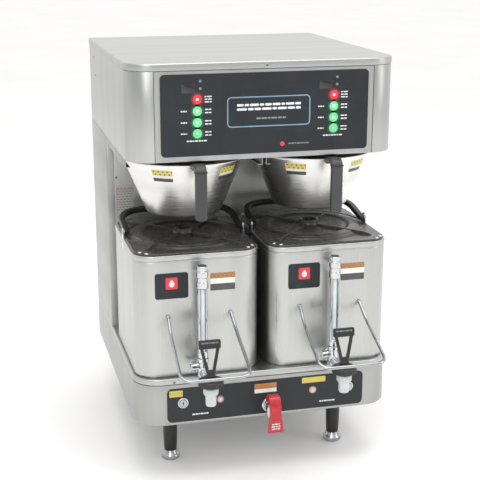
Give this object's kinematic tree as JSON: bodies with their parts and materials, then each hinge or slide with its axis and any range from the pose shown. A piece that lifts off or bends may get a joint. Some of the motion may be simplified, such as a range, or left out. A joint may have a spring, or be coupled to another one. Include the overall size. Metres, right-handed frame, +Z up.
{
  "type": "commercial coffee brewer",
  "caption": "Stainless twin coffee brewer: hood with control panel, cone brew baskets on rails, insulated shuttles with faucets, hot-water lever tap, legs.",
  "frame": {"origin": "middle of the footprint, on the counter under the levelling feet", "axes": "+X to the viewer's right, +Y towards the back, +Z up"},
  "size_m": [0.535, 0.7381, 0.839],
  "materials": {
    "brushed_panel": "brushed, vertical grain on walls",
    "polished_panel": "fine brushed, near polished",
    "chrome_fitting": "bright",
    "polished_wire": "polished stainless",
    "charcoal_overlay": "satin printed film",
    "black_plastic": "satin moulded",
    "grey_handle": "satin moulded",
    "brown_black_leg": "satin moulded",
    "red_plastic": "semi-gloss",
    "red_key": "semi-gloss",
    "green_key": "semi-gloss",
    "circuit_board": "coated board",
    "brass_fitting": "turned",
    "dark_element": "oxidised"
  },
  "bodies": {
    "chassis": {"base_shell": "brushed_panel", "base_deck": "brushed_panel", "base_overlay": "charcoal_overlay", "column_shell": "brushed_panel", "splash_panel": "brushed_panel", "hood_shell": "brushed_panel", "hood_front_panel": "brushed_panel", "hood_floor": "brushed_panel", "top_cover": "brushed_panel", "basket_rails": "brushed_panel", "control_overlay": "charcoal_overlay", "control_board": "circuit_board", "tap_body": "chrome_fitting", "water_inlet": "brass_fitting", "cord_gland": "black_plastic", "water_tank": "polished_panel", "tank_heater": "dark_element", "warmer_element_left": "dark_element", "warmer_element_right": "dark_element", "spray_head_left": "polished_panel", "spray_head_right": "polished_panel", "leg_front_left": "brown_black_leg", "leg_front_right": "brown_black_leg", "leg_back_left": "brown_black_leg", "leg_back_right": "brown_black_leg"},
    "foot_front_left": {"foot_front_left": "polished_wire"},
    "foot_front_right": {"foot_front_right": "polished_wire"},
    "foot_back_left": {"foot_back_left": "polished_wire"},
    "foot_back_right": {"foot_back_right": "polished_wire"},
    "tap_lever": {"tap_lever": "red_plastic"},
    "warmer_switch_left": {"warmer_switch_left": "chrome_fitting"},
    "warmer_switch_right": {"warmer_switch_right": "chrome_fitting"},
    "key_stop_left": {"key_stop_left": "red_key"},
    "key_large_left": {"key_large_left": "green_key"},
    "key_medium_left": {"key_medium_left": "green_key"},
    "key_small_left": {"key_small_left": "green_key"},
    "key_stop_right": {"key_stop_right": "red_key"},
    "key_large_right": {"key_large_right": "green_key"},
    "key_medium_right": {"key_medium_right": "green_key"},
    "key_small_right": {"key_small_right": "green_key"},
    "basket_left": {"brew_basket_left": "polished_panel", "basket_handle_left": "grey_handle"},
    "basket_right": {"brew_basket_right": "polished_panel", "basket_handle_right": "grey_handle"},
    "shuttle_left": {"shuttle_body_left": "brushed_panel", "shuttle_liner_left": "polished_panel", "shuttle_lid_left": "black_plastic", "wire_guard_left": "polished_wire", "sight_gauge_left": "chrome_fitting", "faucet_body_left": "chrome_fitting"},
    "bail_left": {"bail_handle_left": "black_plastic"},
    "faucet_lever_left": {"faucet_lever_left": "black_plastic"},
    "shuttle_right": {"shuttle_body_right": "brushed_panel", "shuttle_liner_right": "polished_panel", "shuttle_lid_right": "black_plastic", "wire_guard_right": "polished_wire", "sight_gauge_right": "chrome_fitting", "faucet_body_right": "chrome_fitting"},
    "bail_right": {"bail_handle_right": "black_plastic"},
    "faucet_lever_right": {"faucet_lever_right": "black_plastic"}
  },
  "joints": [
    {"name": "foot_front_left_level", "type": "slide", "parent": "chassis", "child": "foot_front_left", "axis": [0, 0, -1], "range_m": [0, 0.02]},
    {"name": "foot_front_right_level", "type": "slide", "parent": "chassis", "child": "foot_front_right", "axis": [0, 0, -1], "range_m": [0, 0.02]},
    {"name": "foot_back_left_level", "type": "slide", "parent": "chassis", "child": "foot_back_left", "axis": [0, 0, -1], "range_m": [0, 0.02]},
    {"name": "foot_back_right_level", "type": "slide", "parent": "chassis", "child": "foot_back_right", "axis": [0, 0, -1], "range_m": [0, 0.02]},
    {"name": "tap_lever_pull", "type": "hinge", "parent": "chassis", "child": "tap_lever", "pos_m": [0.003, -0.25585, 0.176], "axis": [1, 0, 0], "range_deg": [-25, 0], "stiffness_Nm_per_rad": 0.4, "springref_deg": 14.32},
    {"name": "warmer_switch_left_press", "type": "slide", "parent": "chassis", "child": "warmer_switch_left", "axis": [0, 1, 0], "range_m": [0, 0.002], "stiffness_N_per_m": 300, "springref_m": -0.002},
    {"name": "warmer_switch_right_press", "type": "slide", "parent": "chassis", "child": "warmer_switch_right", "axis": [0, 1, 0], "range_m": [0, 0.002], "stiffness_N_per_m": 300, "springref_m": -0.002},
    {"name": "key_stop_left_press", "type": "slide", "parent": "chassis", "child": "key_stop_left", "axis": [0, 1, 0], "range_m": [0, 0.0008], "stiffness_N_per_m": 500, "springref_m": -0.0008},
    {"name": "key_large_left_press", "type": "slide", "parent": "chassis", "child": "key_large_left", "axis": [0, 1, 0], "range_m": [0, 0.0008], "stiffness_N_per_m": 500, "springref_m": -0.0008},
    {"name": "key_medium_left_press", "type": "slide", "parent": "chassis", "child": "key_medium_left", "axis": [0, 1, 0], "range_m": [0, 0.0008], "stiffness_N_per_m": 500, "springref_m": -0.0008},
    {"name": "key_small_left_press", "type": "slide", "parent": "chassis", "child": "key_small_left", "axis": [0, 1, 0], "range_m": [0, 0.0008], "stiffness_N_per_m": 500, "springref_m": -0.0008},
    {"name": "key_stop_right_press", "type": "slide", "parent": "chassis", "child": "key_stop_right", "axis": [0, 1, 0], "range_m": [0, 0.0008], "stiffness_N_per_m": 500, "springref_m": -0.0008},
    {"name": "key_large_right_press", "type": "slide", "parent": "chassis", "child": "key_large_right", "axis": [0, 1, 0], "range_m": [0, 0.0008], "stiffness_N_per_m": 500, "springref_m": -0.0008},
    {"name": "key_medium_right_press", "type": "slide", "parent": "chassis", "child": "key_medium_right", "axis": [0, 1, 0], "range_m": [0, 0.0008], "stiffness_N_per_m": 500, "springref_m": -0.0008},
    {"name": "key_small_right_press", "type": "slide", "parent": "chassis", "child": "key_small_right", "axis": [0, 1, 0], "range_m": [0, 0.0008], "stiffness_N_per_m": 500, "springref_m": -0.0008},
    {"name": "basket_left_slide", "type": "slide", "parent": "chassis", "child": "basket_left", "axis": [0, -1, 0], "range_m": [0, 0.2]},
    {"name": "basket_right_slide", "type": "slide", "parent": "chassis", "child": "basket_right", "axis": [0, -1, 0], "range_m": [0, 0.2]},
    {"name": "shuttle_left_slide", "type": "slide", "parent": "chassis", "child": "shuttle_left", "axis": [0, -1, 0], "range_m": [0, 0.15]},
    {"name": "bail_left_swing", "type": "hinge", "parent": "shuttle_left", "child": "bail_left", "pos_m": [-0.1345, -0.06185, 0.484], "axis": [1, 0, 0], "range_deg": [0, 7]},
    {"name": "faucet_lever_left_pull", "type": "hinge", "parent": "shuttle_left", "child": "faucet_lever_left", "pos_m": [-0.1345, -0.30885, 0.256], "axis": [1, 0, 0], "range_deg": [0, 18], "stiffness_Nm_per_rad": 0.4, "springref_deg": -14.32},
    {"name": "shuttle_right_slide", "type": "slide", "parent": "chassis", "child": "shuttle_right", "axis": [0, -1, 0], "range_m": [0, 0.15]},
    {"name": "bail_right_swing", "type": "hinge", "parent": "shuttle_right", "child": "bail_right", "pos_m": [0.1345, -0.06185, 0.484], "axis": [1, 0, 0], "range_deg": [0, 7]},
    {"name": "faucet_lever_right_pull", "type": "hinge", "parent": "shuttle_right", "child": "faucet_lever_right", "pos_m": [0.1345, -0.30885, 0.256], "axis": [1, 0, 0], "range_deg": [0, 18], "stiffness_Nm_per_rad": 0.4, "springref_deg": -14.32}
  ]
}
